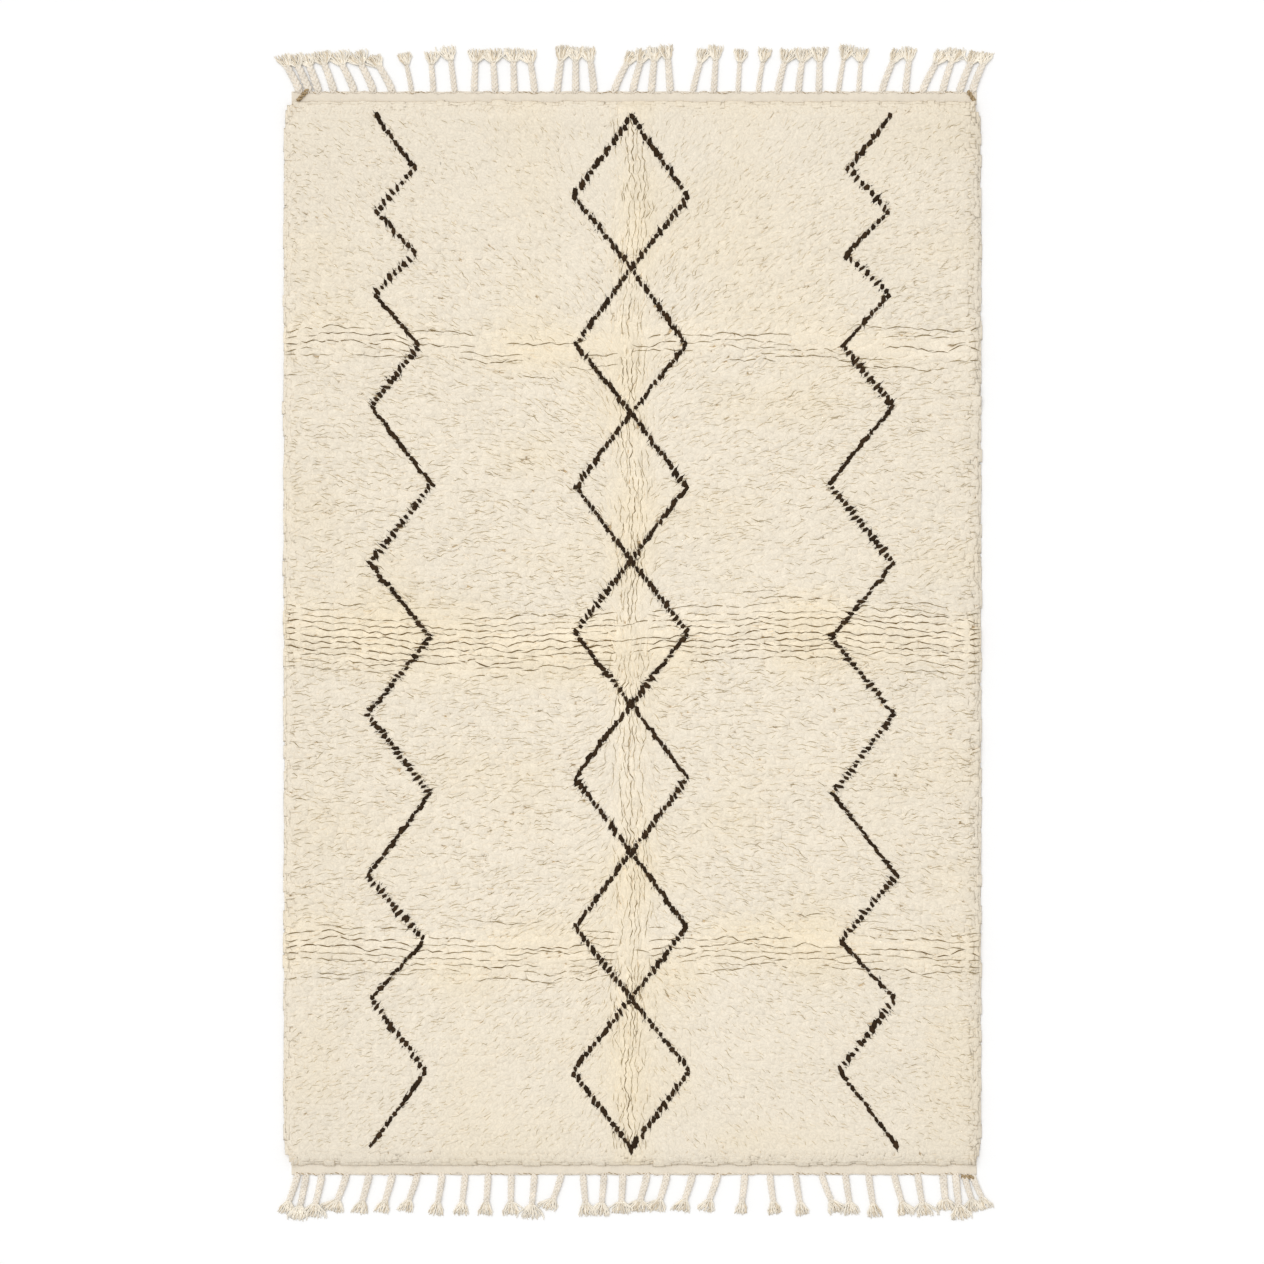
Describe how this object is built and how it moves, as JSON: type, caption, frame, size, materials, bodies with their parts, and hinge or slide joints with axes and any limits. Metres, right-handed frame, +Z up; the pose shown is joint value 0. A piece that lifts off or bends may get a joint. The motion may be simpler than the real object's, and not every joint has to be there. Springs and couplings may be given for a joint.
{
  "type": "beni ourain rug",
  "caption": "Flat hand-knotted wool rug with deep cream pile, dark diamond and zigzag lines, flat-woven end bands and plaited tassels.",
  "frame": {"origin": "on the floor under the middle of the whole rug, tassels included", "axes": "+Y along the rug towards its top end, +X across it, +Z up out of the pile"},
  "size_m": [1.6448, 2.695, 0.0278],
  "materials": {
    "pile": "matt undyed wool, upright tufts",
    "pile_dark": "matt dark brown wool, upright tufts",
    "band_top": "flat-woven and plaited wool",
    "band_bottom": "flat-woven and plaited wool"
  },
  "bodies": {
    "root": {"pile_field": "pile", "end_band_top": "band_top", "end_band_bottom": "band_bottom"}
  },
  "joints": []
}
